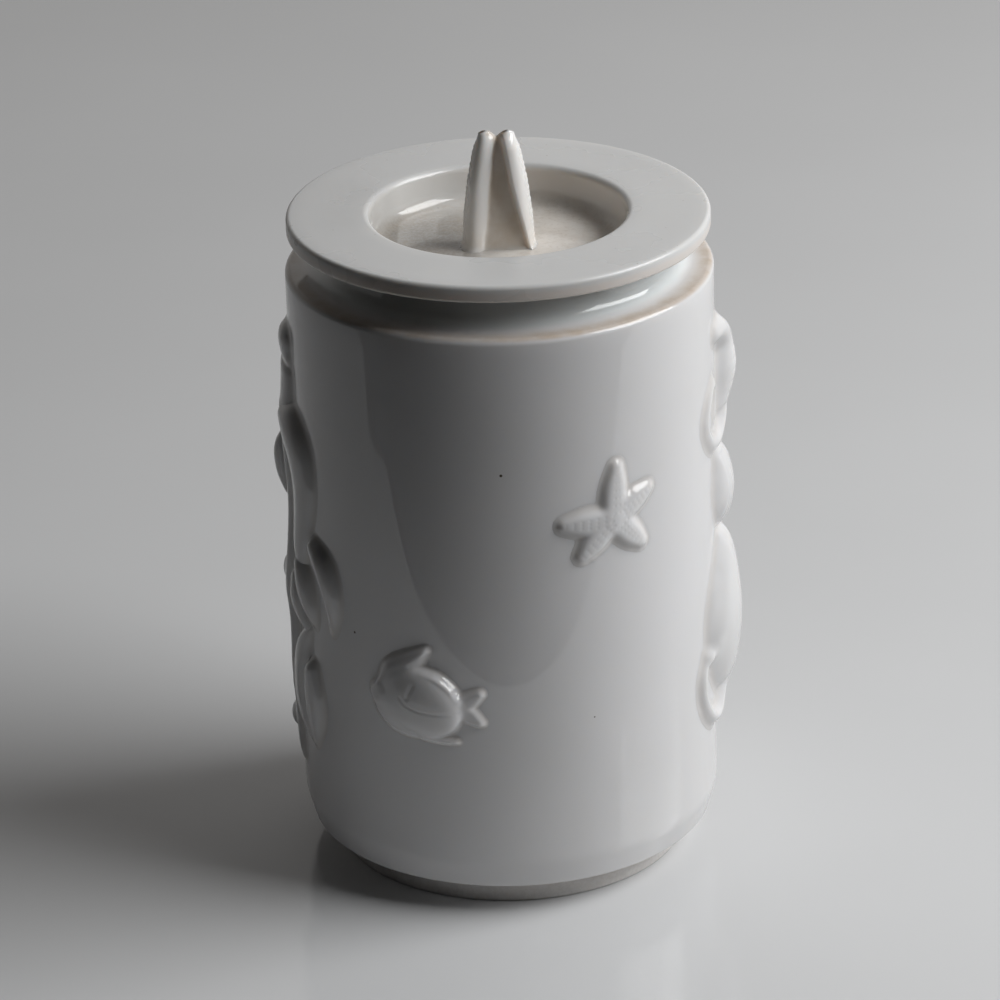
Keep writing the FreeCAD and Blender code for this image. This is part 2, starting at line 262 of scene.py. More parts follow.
GLAZE_IOR = 1.52
GLOW_DEPTH = 0.0025                   # how far light spreads inside the porcelain, in metres
WHITE = rgb(0.745, 0.74, 0.745)
DULL_WHITE = rgb(0.72, 0.715, 0.715)
COOL = rgb(0.70, 0.76, 0.765)
BROWN = rgb(0.44, 0.33, 0.22)
SPECK = rgb(0.09, 0.07, 0.05)
CLAY = rgb(0.78, 0.755, 0.73)


# ---------------------------------------------------------------- materials

def jar_glaze():
    """Glossy white glaze, stained on the ledge, pooled blue-grey in the cove, bare on the foot."""
    s = Shader("jar_glaze")
    _, _, up = s.axes()
    out = s.radius()
    white = s.mix(s.ramp(s.noise(18), 0.35, 0.7), WHITE, DULL_WHITE)
    on_ledge = s.math("MULTIPLY", s.ramp(up, (RIM_HEIGHT - 0.9) * MM, (RIM_HEIGHT - 0.15) * MM),
                      s.ramp(out, 44.0 * MM, 48.3 * MM))
    blotch = s.ramp(s.noise(260, 6, 0.65), 0.25, 0.75, 0.6, 1.0)
    streak = s.ramp(s.noise(45, 3, 0.6), 0.3, 0.7, 0.65, 1.0)
    stain = s.math("MULTIPLY", s.math("MULTIPLY", on_ledge, blotch), streak)
    in_cove = s.math("MULTIPLY", s.ramp(up, (RIM_HEIGHT - 0.2) * MM, (RIM_HEIGHT + 0.8) * MM),
                     s.ramp(out, 45.8 * MM, 43.5 * MM))
    color = s.mix(s.math("MULTIPLY", in_cove, 0.6), white, COOL)
    color = s.mix(s.math("MULTIPLY", stain, 0.76), color, BROWN)
    color = s.mix(s.specks(70, 0.018, 0.10), color, SPECK)
    pinholes = ((-1, 114, 0.45), (-45.7, 68.5, 0.4), (23, 50.5, 0.25))
    for azimuth, height, size in pinholes:
        color = s.mix(s.pinhole(azimuth, height, size), color, SPECK)
    bare = s.math("MULTIPLY", s.ramp(up, 6.9 * MM, 6.5 * MM), s.ramp(out, 43.4 * MM, 42.6 * MM))
    grain = s.noise(900, 5, 0.7)
    clay = s.mix(s.ramp(grain, 0.3, 0.7), CLAY, rgb(0.70, 0.67, 0.64))
    color = s.mix(bare, color, clay)
    rough = s.ramp(s.noise(30), 0.3, 0.7, 0.008, 0.018)
    rough = s.math("ADD", rough, s.math("MULTIPLY", stain, 0.12))
    rough = s.math("MAXIMUM", rough, s.math("MULTIPLY", bare, 0.45))
    return s.finish(color, rough, s.noise(420, 2), 0.000004, 0.4)


def lid_glaze():
    """A satin flange round a glossy well whose floor carries a thin brown stain and specks. The
    flange carries painted shade to the left, and the well's glaze is painted lighter and darker from
    side to side.
    """
    s = Shader("lid_glaze")
    x, y, up = s.axes()
    out = s.radius()
    white = s.mix(s.ramp(s.noise(22), 0.35, 0.7), rgb(0.68, 0.68, 0.672), rgb(0.655, 0.655, 0.65))
    top = (LID_TOP - 0.3) * MM
    in_well = s.math("MULTIPLY", s.ramp(up, top, top - 0.9 * MM), s.ramp(out, 32 * MM, 31 * MM))
    on_floor = s.math("MULTIPLY", in_well, s.ramp(up, (WELL_FLOOR + 3.2) * MM, WELL_FLOOR * MM))
    cloud = s.ramp(s.noise(60, 4, 0.6), 0.38, 0.68)
    grain = s.ramp(s.noise(900, 4, 0.7), 0.45, 0.75)
    stain = s.math("MULTIPLY", on_floor, s.math("ADD", s.math("MULTIPLY", cloud, 0.24),
                                                s.math("MULTIPLY", grain, 0.22)))
    # Painted shade: the flange's colour darkens towards the left, the side away from the light.
    white = s.mix(s.ramp(x, -5 * MM, -48 * MM), white, rgb(0.60, 0.60, 0.595))
    edge = s.math("MULTIPLY", s.ramp(up, (LID_TOP - 1.0) * MM, (LID_TOP - 2.6) * MM),
                  s.ramp(out, 36 * MM, 40 * MM))
    color = s.mix(s.math("MULTIPLY", edge, 0.8), white, rgb(0.72, 0.665, 0.62))
    # Painted light and shade in the well: its glaze is lighter on the right, where the rim shades the
    # floor, and darker on the lit left.
    side = s.ramp(x, -14 * MM, 12 * MM)
    glaze = s.mix(side, rgb(0.60, 0.59, 0.57), rgb(0.86, 0.82, 0.77))
    color = s.mix(in_well, color, glaze)
    soiled = s.math("MULTIPLY", on_floor, s.ramp(x, 3 * MM, -10 * MM))
    soiled = s.math("MULTIPLY", soiled, s.ramp(y, 28 * MM, 13 * MM))
    soiled = s.math("MULTIPLY", soiled, s.ramp(s.noise(1100, 4, 0.75), 0.3, 0.7, 0.6, 0.95))
    color = s.mix(soiled, color, rgb(0.33, 0.305, 0.275))
    color = s.mix(stain, color, rgb(0.42, 0.34, 0.25))
    fine = s.math("MULTIPLY", s.specks(420, 0.12, 0.10), 0.35)
    color = s.mix(fine, color, rgb(0.3, 0.26, 0.22))
    color = s.mix(s.specks(70, 0.03, 0.16), color, SPECK)
    rough = s.ramp(s.noise(40), 0.3, 0.7, 0.24, 0.32)
    rough = s.math("MULTIPLY", rough, s.ramp(in_well, 0.0, 1.0, 1.0, 0.14))
    return s.finish(color, rough, s.noise(500, 2), 0.00001, 0.5)


def knob_glaze():
    """Warm white glaze, with painted brownish shade in the channel between the ridges, and darker and
    browner towards the foot.
    """
    s = Shader("knob_glaze")
    x, y, up = s.axes()
    depth = s.math("ABSOLUTE", y)
    beside = s.math("ABSOLUTE", x)
    web = s.ramp(up, WELL_FLOOR * MM, KNOB_TOP * MM, 2.9 * MM, 0.9 * MM, "LINEAR")
    reach = s.ramp(up, WELL_FLOOR * MM, KNOB_TOP * MM, 8.0 * MM, 2.6 * MM, "LINEAR")
    near_web = s.ramp(s.math("SUBTRACT", depth, web), 0.1 * MM, 1.0 * MM, 1.0, 0.0)
    inside_edges = s.ramp(s.math("SUBTRACT", reach, beside), 0.0, 0.8 * MM)
    # Painted shade with a brown tint: the channel between the ridges is coloured darker and browner.
    channel = s.math("MULTIPLY", near_web, inside_edges)
    # Darker and browner towards the foot of the knob.
    low = s.ramp(up, (WELL_FLOOR + 12) * MM, WELL_FLOOR * MM, 0.0, 0.45)
    white = s.mix(s.ramp(s.noise(60), 0.35, 0.7), rgb(0.85, 0.84, 0.825), rgb(0.82, 0.805, 0.785))
    patch = s.math("MULTIPLY", s.math("MAXIMUM", channel, low),
                   s.ramp(s.noise(160, 4, 0.6), 0.3, 0.7, 0.5, 0.85))
    color = s.mix(patch, white, rgb(0.62, 0.535, 0.44))
    return s.finish(color, 0.03, s.noise(500, 2), 0.00001, 0.5)


def sprig_glaze():
    """The jar's own glaze, lighter on the crests of the reliefs, with painted brownish shade round
    their feet.
    """
    s = Shader("sprig_glaze")
    out = s.radius()
    white = s.mix(s.ramp(s.noise(18), 0.35, 0.7), WHITE, DULL_WHITE)
    crest = s.ramp(out, (WALL_RADIUS + 1.5) * MM, (WALL_RADIUS + 5) * MM)
    color = s.mix(s.math("MULTIPLY", crest, 0.5), white, rgb(0.765, 0.765, 0.76))
    color = s.mix(s.specks(55, 0.022, 0.12), color, SPECK)
    # Painted shade: the reliefs' low parts next to the wall are coloured darker and browner, as
    # shaded creases.
    foot = s.ramp(out, (WALL_RADIUS + 1.4) * MM, (WALL_RADIUS + 0.1) * MM, 0.0, 0.5)
    color = s.mix(foot, color, rgb(0.66, 0.62, 0.58))
    rough = s.ramp(s.noise(30), 0.3, 0.7, 0.02, 0.04)
    return s.finish(color, rough, s.noise(420, 2), 0.000012, 0.4)


def table_glaze():
    """White, faintly glossy laminate."""
    s = Shader("table_glaze")
    color = s.mix(s.ramp(s.noise(5, 3), 0.3, 0.7), rgb(0.708, 0.713, 0.718), rgb(0.738, 0.743, 0.748))
    rough = s.ramp(s.noise(8, 4), 0.3, 0.7, 0.10, 0.14)
    return s.finish(color, rough, s.noise(700, 3), 0.00001)


# ---------------------------------------------------------------- lathed pieces

def undulation(turn, up):
    """The cast wall's slight unevenness, in millimetres, at an azimuth and a height."""
    swell, waves_round, wave_height = 0.10, 1.6, 42.0
    place = Vector((math.sin(turn) * waves_round, math.cos(turn) * waves_round, up / wave_height))
    fade_low = min(1.0, max(0.0, (up - 12) / 15))
    fade_high = min(1.0, max(0.0, (143 - up) / 12))
    return swell * fade_low * fade_high * noise.noise(place)


def make_jar(material):
    """The jar in one turn: foot ring, skirt, wall, ledge, cove, neck, shoulder and floor."""
    foot_roof, foot_inner, foot_outer = 3.0, 37.4, 41.7
    foot_top, skirt_edge, skirt_top, skirt_inset = 6.8, 7.6, 14.0, 1.7
    neck_outer, neck_inner = 41.5, 36.6
    wall_inner, shoulder_under, floor_top = WALL_RADIUS - 4.0, 142.5, 9.0
    return lathe("jar_shell", [
        (0, foot_roof, 0), (foot_inner, foot_roof, 0.5), (foot_inner, 0, 0.6), (foot_outer, 0, 0.6),
        (foot_outer, foot_top, 0.8), (WALL_RADIUS - skirt_inset, skirt_edge, 0.7),
        (WALL_RADIUS, skirt_top, 12.0), (WALL_RADIUS, RIM_HEIGHT, 1.5),
        (neck_outer, RIM_HEIGHT, 3.7), (neck_outer, NECK_TOP, 0.7), (neck_inner, NECK_TOP, 0.7),
        (neck_inner, shoulder_under, 2.5), (wall_inner, shoulder_under, 3.0),
        (wall_inner, floor_top, 6.0), (0, floor_top, 0),
    ], material, undulation)


def make_lid(material):
    """The lid in one turn: the cup's underside, the flange, and the well with its floor."""
    cup_outer, well_radius = 35.2, 29.8
    return lathe("lid_shell", [
        (0, CUP_UNDER, 0), (cup_outer, CUP_UNDER, 3.0), (cup_outer, NECK_TOP, 0.4),
        (FLANGE_RADIUS, NECK_TOP, 0.7), (FLANGE_RADIUS, LID_TOP, 1.05),
        (well_radius, LID_TOP, 1.7), (well_radius, WELL_FLOOR, 3.4), (0, WELL_FLOOR, 0),
    ], material)


# ---------------------------------------------------------------- the knob

def knob_levels(share):
    """Half width, half depth, the channel's two edges and the web's half thickness."""
    shares = (0.0, 0.28, 0.57, 0.87, 1.0)
    half_width = (8.3, 7.8, 6.8, 5.15, 4.1)
    half_depth = (5.2, 4.9, 4.3, 3.5, 2.5)
    channel_left = (-3.8, -2.6, -1.8, -1.0, -0.6)
    channel_right = (7.2, 5.0, 2.9, 1.5, 0.8)
    web = (2.9, 2.1, 1.4, 1.1, 0.9)
    rows = (half_width, half_depth, channel_left, channel_right, web)
    return [np.interp(share, shares, row) for row in rows]


def soft_step(value):
    value = min(1.0, max(0.0, value))
    return value * value * (3 - 2 * value)


def knob_thickness(across, share):
    """Half thickness of the tail at a point across it: a rounded slab with a lopsided channel."""
    half, depth, left, right, web = knob_levels(share)
    slab = depth * math.sqrt(max(0.0, 1 - abs(across / half) ** 4.5))
    crest = -0.84 * half
    fall = min(1.0, max(0.0, (across - crest) / (left + 0.5 - crest)))
    near = 0.4 * fall + 0.6 * (1 - math.sqrt(1 - fall * fall))
    far = soft_step((right + 0.8 - across) / 1.5)
    return slab - max(0.0, slab - web) * near * far


def make_knob(material):
    """Two rounded ridges joined by a web, with fin rays on the outer faces and a forked top."""
    columns, levels = 90, 110
    ray, ray_spacing = 0.17, 1.4
    scallop, scallop_spacing = 0.16, 2.9
    flare_size, flare_height = 0.7, 1.8
    fork_start, fork_drop, tip_across = 0.86, 1.5, 2.6
    sunk = 0.3
    tall = KNOB_TOP - 0.6 - WELL_FLOOR
    verts, faces = [], []
    for level in range(levels + 1):
        share = level / levels
        half = knob_levels(share)[0]
        flare = flare_size * max(0.0, 1 - share * tall / flare_height) ** 2
        fork = np.clip((share - fork_start) / (1 - fork_start), 0, 1)
        for side in (-1, 1):
            for column in range(columns):
                swing = math.pi * (column + 0.5) / columns
                across = -side * half * math.sin(math.pi / 2 * math.cos(swing))
                thick = knob_thickness(-side * across, share)
                near_edge = max(0.0, 1 - (1 - abs(across / half)) / 0.12) * min(1, 5 - 5 * share)
                ripple = (ray * math.cos(2 * math.pi * thick / ray_spacing)
                          + scallop * math.cos(2 * math.pi * share * tall / scallop_spacing))
                across += math.copysign(ripple * near_edge, across)
                across *= 1 + flare / half
                thick = (thick + flare) * math.sqrt(max(0.0, 1 - fork ** 3))
                away = min(1.0, abs(abs(across) - tip_across) / tip_across)
                up = WELL_FLOOR - sunk + (tall + sunk) * share - fork_drop * fork * away ** 2
                verts.append((across, side * thick, up))
    ring = 2 * columns
    for level in range(levels):
        for k in range(ring):
            a, b = level * ring + k, level * ring + (k + 1) % ring
            faces.append((a, b, b + ring, a + ring))
    faces.append(tuple(reversed(range(ring))))
    last = levels * ring
    for k in range(columns - 1):
        a, b = last + k, last + k + 1
        faces.append((a, b, last + ring - 2 - k, last + ring - 1 - k))
    return new_mesh("fishtail", verts, faces, material)


# ---------------------------------------------------------------- reliefs on the wall

def smooth_path(points, steps=14):
    """A Catmull-Rom curve through rows of numbers."""
    rows = np.array(points, float)
    padded = np.vstack([2 * rows[0] - rows[1], rows, 2 * rows[-1] - rows[-2]])
    result = []
    for i in range(1, len(padded) - 2):
        p0, p1, p2, p3 = padded[i - 1:i + 3]
        for t in np.linspace(0, 1, steps, endpoint=False):
            result.append(0.5 * (2 * p1 + (p2 - p0) * t + (2 * p0 - 5 * p1 + 4 * p2 - p3) * t ** 2
                                 + (3 * p1 - p0 - 3 * p2 + p3) * t ** 3))
    result.append(rows[-1])
    return np.array(result)


class Sculpt:
    """A height field over a patch of the wall: across and up in millimetres from its centre."""

    def __init__(self, low, high, grid=0.3):
        self.grid = grid
        across = np.arange(low[0], high[0] + grid, grid)
        up = np.arange(low[1], high[1] + grid, grid)
        self.u, self.w = np.meshgrid(across, up)
        self.relief = np.zeros_like(self.u)

    def nearest(self, path):
        """Distance to the path's edge, and the path's values at the nearest place."""
        best = np.full(self.u.shape, 1e9)
        values = np.zeros(self.u.shape + (path.shape[1],))
        for start, end in zip(path, path[1:]):
            run = end[:2] - start[:2]
            length = max(run @ run, 1e-9)
            t = ((self.u - start[0]) * run[0] + (self.w - start[1]) * run[1]) / length
            t = np.clip(t, 0, 1)
            here = start + (end - start) * t[..., None]
            gap = np.hypot(self.u - here[..., 0], self.w - here[..., 1])
            closer = gap - here[..., 2] < best
            best = np.where(closer, gap - here[..., 2], best)
            values = np.where(closer[..., None], here, values)
        return best, values

    def blend(self, layer, soft):
        """Join a layer to what is there, with a soft valley between them."""
        mixed = np.maximum(soft - np.abs(self.relief - layer), 0) / soft
        both = (self.relief > 0) & (layer > 0)
        self.relief = np.maximum(self.relief, layer) + np.where(both, mixed ** 2 * soft / 4, 0)

    def roll(self, points, soft=0.8, plump=0.5, flat=2):
        """A rounded roll of clay along (across, up, half width, relief) points.

        A larger plump gives gentler flanks and a larger flat a broader, more level top.
        """
        edge, here = self.nearest(smooth_path(points))
        width, proud = here[..., 2], here[..., 3]
        inside = np.clip(-edge / np.maximum(width, 1e-6), 0, 1)
        self.blend(proud * (1 - (1 - inside) ** flat) ** plump, soft)

    def groove(self, points, depth, width):
        """Press a soft line into the clay."""
        rows = [(across, up, 0.0) for across, up in points]
        gap, here = self.nearest(smooth_path(rows))
        self.relief -= depth * np.exp(-(gap / width) ** 2) * np.clip(self.relief, 0, 1)

    def dimple(self, across, up, depth, width):
        """Press a soft round pit into the clay."""
        gap = (self.u - across) ** 2 + (self.w - up) ** 2
        self.relief -= depth * np.exp(-gap / width ** 2) * np.clip(self.relief, 0, 1)

    def dome(self, across, up, half_width, half_height, proud, lean=0.0, soft=0.8, plump=0.5):
        """An oval swelling; lean turns it clockwise, in degrees."""
        c, s = math.cos(math.radians(lean)), math.sin(math.radians(lean))
        u, w = self.u - across, self.w - up
        x, y = (u * c - w * s) / half_width, (u * s + w * c) / half_height
        self.blend(proud * np.clip(1 - x * x - y * y, 0, 1) ** plump, soft)

    def glaze(self, spread=0.45, passes=2):
        """Soften everything the way melted glaze does, thickest in the corners."""
        reach = int(3 * spread / self.grid) + 1
        kernel = np.exp(-0.5 * (np.arange(-reach, reach + 1) * self.grid / spread) ** 2)
        kernel /= kernel.sum()
        for step in range(passes):
            for axis in (0, 1):
                self.relief = np.apply_along_axis(
                    lambda row: np.convolve(row, kernel, mode="same"), axis, self.relief)


def wall_place(azimuth, up, proud):
    """A point on the uneven wall, at an azimuth in degrees, standing proud of it."""
    turn = math.radians(azimuth)
    radius = WALL_RADIUS + undulation(turn, up) + proud
    return (radius * math.sin(turn), -radius * math.cos(turn), up)


def relief_piece(name, node, centre, sculpt, material):
    """Wrap a height field onto the wall as a closed patch that fades into it."""
    azimuth, up = centre
    least_relief, rim_proud, root_proud = 0.015, -0.06, -0.8
    shown = sculpt.relief > least_relief
    cells = shown[:-1, :-1] | shown[1:, :-1] | shown[:-1, 1:] | shown[1:, 1:]
    rows, columns = sculpt.u.shape
    used = np.zeros((rows, columns), int)
    for dr, dc in ((0, 0), (0, 1), (1, 0), (1, 1)):
        used[dr:rows - 1 + dr, dc:columns - 1 + dc] += cells
    number = -np.ones((rows, columns), int)
    number[used > 0] = np.arange((used > 0).sum())
    outer, inner = [], []
    for r, c in zip(*np.nonzero(used)):
        turn = azimuth + math.degrees(sculpt.u[r, c] / WALL_RADIUS)
        height = up + sculpt.w[r, c]
        proud = rim_proud if used[r, c] < 4 else sculpt.relief[r, c]
        outer.append(wall_place(turn, height, proud))
        inner.append(wall_place(turn, height, root_proud))
    count = len(outer)
    faces = []
    for r, c in zip(*np.nonzero(cells)):
        a, b = number[r, c], number[r, c + 1]
        d, e = number[r + 1, c], number[r + 1, c + 1]
        faces.append((a, b, e, d))
        faces.append((a + count, d + count, e + count, b + count))
        if c == 0 or not cells[r, c - 1]:
            faces.append((a, d, d + count, a + count))
        if c == columns - 2 or not cells[r, c + 1]:
            faces.append((e, b, b + count, e + count))
        if r == 0 or not cells[r - 1, c]:
            faces.append((b, a, a + count, b + count))
        if r == rows - 2 or not cells[r + 1, c]:
            faces.append((d, e, e + count, d + count))
    stand_for(new_mesh(name, outer + inner, faces, material), node, "jar")


def starfish(arms):
    """Five plump arms, each an (angle, length) pair, with rows of fine pits."""
    s = Sculpt((-19, -17), (18, 19), 0.2)
    for angle, length in arms:
        x, y = math.cos(math.radians(angle)), math.sin(math.radians(angle))
        s.roll([(-1.2, 0.2, 3.2, 1.6), (x * length * 0.5 - 0.6, y * length * 0.5, 3.2, 1.45),
                (x * (length - 1.7), y * (length - 1.7), 1.7, 1.15)], soft=0.4, plump=0.75, flat=5)
    s.glaze(0.45)
    for angle, length in arms:
        x, y = math.cos(math.radians(angle)), math.sin(math.radians(angle))
        for step in range(7):
            along = 1.8 + step * (length - 3.6) / 6
            for beside in (-1.3 + 0.13 * step, 0.0, 1.3 - 0.13 * step):
                s.dimple(x * along - y * beside, y * along + x * beside, 0.05, 0.34)
    return s


def round_fish(facing):
    """A round-bodied fish; facing is -1 when its head points to smaller azimuths."""
    s = Sculpt((-18, -15), (20, 18), 0.2)
    s.dome(-1.5, -0.6, 10.6, 8.7, 3.4, soft=0.6, plump=0.6)
    s.dome(2.0, 0.5, 9.8, 8.0, 3.9, lean=36, soft=1.4, plump=0.3)
    s.roll([(-10.4, 0.6, 2.4, 1.8), (-8.0, 0.4, 4.0, 2.8)], soft=1.2)
    s.roll([(-8.6, 3.4, 2.2, 1.6), (-5.6, 6.6, 3.6, 2.2), (-1.6, 9.8, 3.0, 2.3),
            (2.8, 13.8, 0.8, 2.0)], soft=2.0, plump=0.9)
    s.roll([(2.0, -7.8, 1.7, 1.7), (6.0, -8.8, 1.0, 1.5), (9.8, -9.0, 0.6, 1.5)], soft=0.6)
    for tip in (3.7, -3.7):
        s.roll([(9.4, 0.3, 1.9, 1.9), (12.4, tip * 0.45, 2.1, 1.2), (15.3, tip, 1.1, 1.2)],
               soft=0.3, flat=8)
    s.roll([(1.8, 8.5, 0.4, 2.4), (5.2, 7.6, 0.5, 3.0), (8.6, 5.0, 0.5, 3.0), (10.6, 1.6, 0.4, 2.4)],
           soft=0.8)
    s.glaze(0.3)
    s.groove([(-2.6, 2.0), (-0.4, 0.0), (4.6, -1.0), (10.4, -0.8)], 0.10, 0.4)
    s.groove([(0.4, 5.4), (-0.2, 4.0), (-0.9, 2.2)], 0.16, 0.55)
    if facing > 0:
        s.u = -s.u[:, ::-1]
        s.relief = s.relief[:, ::-1]
    return s


def seahorse():
    """A bent head, a plump belly and a tail that loops round and back up into a point."""
    s = Sculpt((-24, -20), (14, 24))
    s.roll([(-9.2, 14.4, 2.3, 1.9), (-3.8, 13.6, 3.6, 3.4), (1.2, 8.8, 4.8, 4.5),
            (1.8, 2.6, 6.2, 5.3), (0.6, -3.4, 4.2, 4.0), (-1.4, -6.4, 2.2, 2.6)],
           soft=1.0, plump=0.7)
    s.roll([(0.4, -4.6, 2.4, 2.8), (0.2, -9.0, 2.4, 3.2), (-4.0, -12.6, 2.3, 2.3),
            (-9.6, -13.0, 2.2, 1.7), (-15.2, -10.4, 2.0, 1.5), (-18.2, -5.4, 1.9, 1.4),
            (-16.2, -0.6, 1.7, 1.4), (-11.4, 3.4, 1.2, 1.2)], soft=0.5, plump=0.9)
    s.roll([(-11.4, 3.2, 1.0, 1.2), (-9.4, -1.4, 1.2, 1.1), (-9.8, -6.4, 1.2, 0.8)], soft=0.5)
    s.roll([(7.4, 5.4, 1.6, 1.8), (9.4, 3.0, 1.8, 1.4), (7.6, -0.4, 1.4, 1.6)], soft=0.6)
    s.glaze(0.6, 2)
    for step in range(6):
        up = 7.0 - step * 2.8
        s.groove([(-1.6, up), (2.0, up + 0.6), (5.6, up)], 0.07, 0.5)
    return s


def cockle():
    """A rounded shell with a beak above it and the faintest of ribs."""
    s = Sculpt((-15, -14), (13, 16))
    s.roll([(-9.8, 11.4, 1.6, 1.2), (-5.6, 7.0, 5.8, 3.2), (-2.0, 1.0, 9.6, 4.5),
            (-0.2, -4.0, 7.0, 4.0)], soft=0.8, plump=0.7)
    s.glaze(0.5, 3)
    for rib in range(-3, 4):
        s.groove([(-8.0 + 0.4 * rib, 10.6), (-2.0 + 1.6 * rib, 3.0), (0.2 + 1.9 * rib, -7.0)],
                 0.10, 0.5)
    return s


def conch():
    """A pointed spire over a large whorl, with a lipped hollow mouth at the lower left."""
    s = Sculpt((-23, -31), (20, 32))
    s.roll([(-1.2, 21.6, 1.3, 1.2), (1.6, 19.0, 4.4, 2.8), (3.4, 15.0, 8.4, 4.6),
            (3.2, 8.0, 12.6, 5.8), (2.0, 1.0, 15.2, 6.3), (2.8, -6.0, 13.0, 5.8),
            (4.8, -12.0, 9.0, 4.7), (6.8, -17.0, 4.8, 3.3)], soft=1.2, plump=0.8)
    s.roll([(-14.6, -6.6, 1.3, 1.7), (-16.2, -10.0, 1.5, 2.0), (-15.8, -14.6, 1.6, 2.1),
            (-13.0, -19.4, 1.7, 2.2), (-8.8, -22.6, 1.7, 2.4), (-4.2, -23.0, 1.7, 2.6),
            (-0.4, -20.0, 1.8, 2.8), (2.6, -15.6, 2.0, 3.2)], soft=0.6, plump=0.6)
    s.dome(-12.6, -5.2, 2.5, 2.2, 2.4, soft=0.8)
    s.groove([(-6.0, 14.0), (-9.4, 6.0), (-12.0, -1.0)], 0.3, 1.1)
    s.glaze(0.5, 3)
    return s


def leaf(points, low, high, crease):
    """A rounded blade, with a soft crease down its middle if crease isn't 0."""
    s = Sculpt(low, high)
    s.roll(points, soft=0.6, plump=0.6)
    if crease:
        s.groove([row[:2] for row in points], crease, 0.7)
    s.glaze()
    return s


def twin_leaf(first, second, low, high):
    """Two rounded blades that share a foot."""
    s = Sculpt(low, high)
    s.roll(first, soft=0.6, plump=0.6)
    s.roll(second, soft=0.4, plump=0.6)
    s.glaze()
    return s


def stem():
    """The seaweed's stem: a broad tip above, thin behind the leaves, with two small buds."""
    s = Sculpt((-13, -60), (12, 63))
    s.roll([(0.6, 37.0, 5.4, 2.5), (0.4, 44.0, 6.0, 2.1), (-0.4, 50.0, 5.8, 1.9)], soft=0.8)
    s.dome(-0.8, 52.6, 6.2, 4.4, 2.3, soft=0.4)
    s.roll([(0.0, 36.0, 3.6, 2.8), (-3.6, 22.0, 2.2, 2.2), (-4.4, 10.0, 2.2, 1.6),
            (-3.4, 0.0, 2.3, 2.1), (-3.0, -11.0, 2.9, 3.0), (-1.4, -20.0, 2.4, 2.4),
            (-2.4, -33.0, 2.4, 2.5), (-2.2, -42.0, 2.0, 1.8), (1.4, -51.0, 1.8, 1.5),
            (3.4, -54.6, 1.1, 1.0)], soft=0.6)
    s.dome(-6.6, -9.0, 3.2, 5.0, 3.5, soft=0.6)
    s.dome(-4.6, -46.6, 3.0, 4.2, 2.8, soft=0.6)
    s.groove([(-7.0, 49.8), (0.0, 48.4), (6.6, 47.0)], 0.8, 0.6)
    s.groove([(-3.0, -16.0), (-2.0, -24.0), (-2.4, -36.0)], 0.4, 0.5)
    s.glaze()
    return s


def pod():
    """A drop-shaped float with a line down it."""
    s = Sculpt((-9, -14), (9, 14))
    s.roll([(1.4, 8.8, 1.4, 1.6), (0.2, 3.4, 3.4, 4.4), (0.0, -2.6, 3.9, 4.4),
            (1.0, -8.6, 1.6, 2.4)], soft=0.6, plump=0.5)
    s.groove([(3.0, 6.0), (2.2, 0.0), (3.0, -7.0)], 0.35, 0.5)
    s.glaze()
    return s


def make_reliefs(material):
    """Every sprig: its name, the CAD node it stands for, its centre on the wall and its shape.

    A centre is an azimuth in degrees and a height in millimetres.
    """
    front_arms = [(90, 14.4), (30, 11.9), (-49, 12.0), (-139, 13.6), (178, 14.8)]
    lobe = [(6.4, -5.4, 2.8, 2.6), (8.2, -10.6, 4.0, 3.0), (12.4, -16.0, 1.6, 1.6)]
    back_arms = [(82, 12.8), (12, 11.4), (-62, 12.4), (-134, 12.0), (152, 12.6)]
    weed = (-84, 78.0)
    sprigs = [
        ("starfish_relief", "starfish_front", (30.4, 99.9), starfish(front_arms)),
        ("fish_relief", "fish_front", (-25.5, 55.2), round_fish(-1)),
        ("seahorse_relief", "seahorse", (90, 116.5), seahorse()),
        ("cockle_relief", "cockle_shell", (90.5, 89.4), cockle()),
        ("conch_relief", "conch_shell", (84.0, 56.6), conch()),
        ("stem_relief", "seaweed_stem", weed, stem()),
        ("ribbon_relief", "seaweed_ribbon", weed, leaf([
            (2.0, 34.6, 3.8, 3.4), (7.4, 32.6, 6.0, 3.5), (12.2, 28.0, 6.3, 3.2),
            (14.0, 20.5, 5.3, 2.8), (12.6, 12.5, 4.8, 2.5), (11.0, 5.0, 4.2, 2.4),
            (10.6, 0.6, 2.8, 2.0)], (-5, -4), (24, 44), 0.0)),
        ("leaf_high_relief", "seaweed_leaf_high", weed, leaf([
            (18.6, 7.4, 2.3, 2.4), (23.0, 4.4, 3.4, 3.2), (25.4, -0.4, 3.3, 3.0),
            (26.0, -6.0, 2.6, 2.0), (25.4, -12.0, 1.4, 0.5)], (13, -16), (33, 13), 0.0)),
        ("leaf_middle_relief", "seaweed_leaf_middle", weed, twin_leaf([
            (10.2, 0.0, 2.6, 2.6), (13.0, -4.4, 4.0, 3.1), (15.2, -8.8, 3.2, 2.6),
            (16.6, -13.0, 1.6, 1.2)], lobe, (1, -20), (22, 6))),
        ("leaf_low_relief", "seaweed_leaf_low", weed, leaf([
            (13.4, -16.4, 1.2, 1.2), (9.6, -22.0, 3.2, 2.5), (7.0, -30.0, 3.8, 2.8),
            (7.4, -38.0, 3.4, 2.5), (11.6, -44.0, 2.0, 1.4)], (-1, -50), (18, -12), 0.4)),
        ("leaf_inner_relief", "seaweed_leaf_inner", weed, leaf([
            (15.0, -26.6, 3.2, 2.7), (15.6, -33.0, 4.6, 2.7), (15.2, -39.0, 4.2, 2.1),
            (14.4, -44.6, 2.2, 1.0)], (7, -50), (24, -19), 0.3)),
        ("pod_relief", "seaweed_pod", (-93.5, 97.2), pod()),
        ("starfish_back_relief", "starfish_back", (158.0, 58.0), starfish(back_arms)),
        ("fish_back_relief", "fish_back", (-152.0, 104.0), round_fish(1)),
    ]
    for name, node, centre, sculpt in sprigs:
        relief_piece(name, node, centre, sculpt, material)


# ---------------------------------------------------------------- camera, table and light

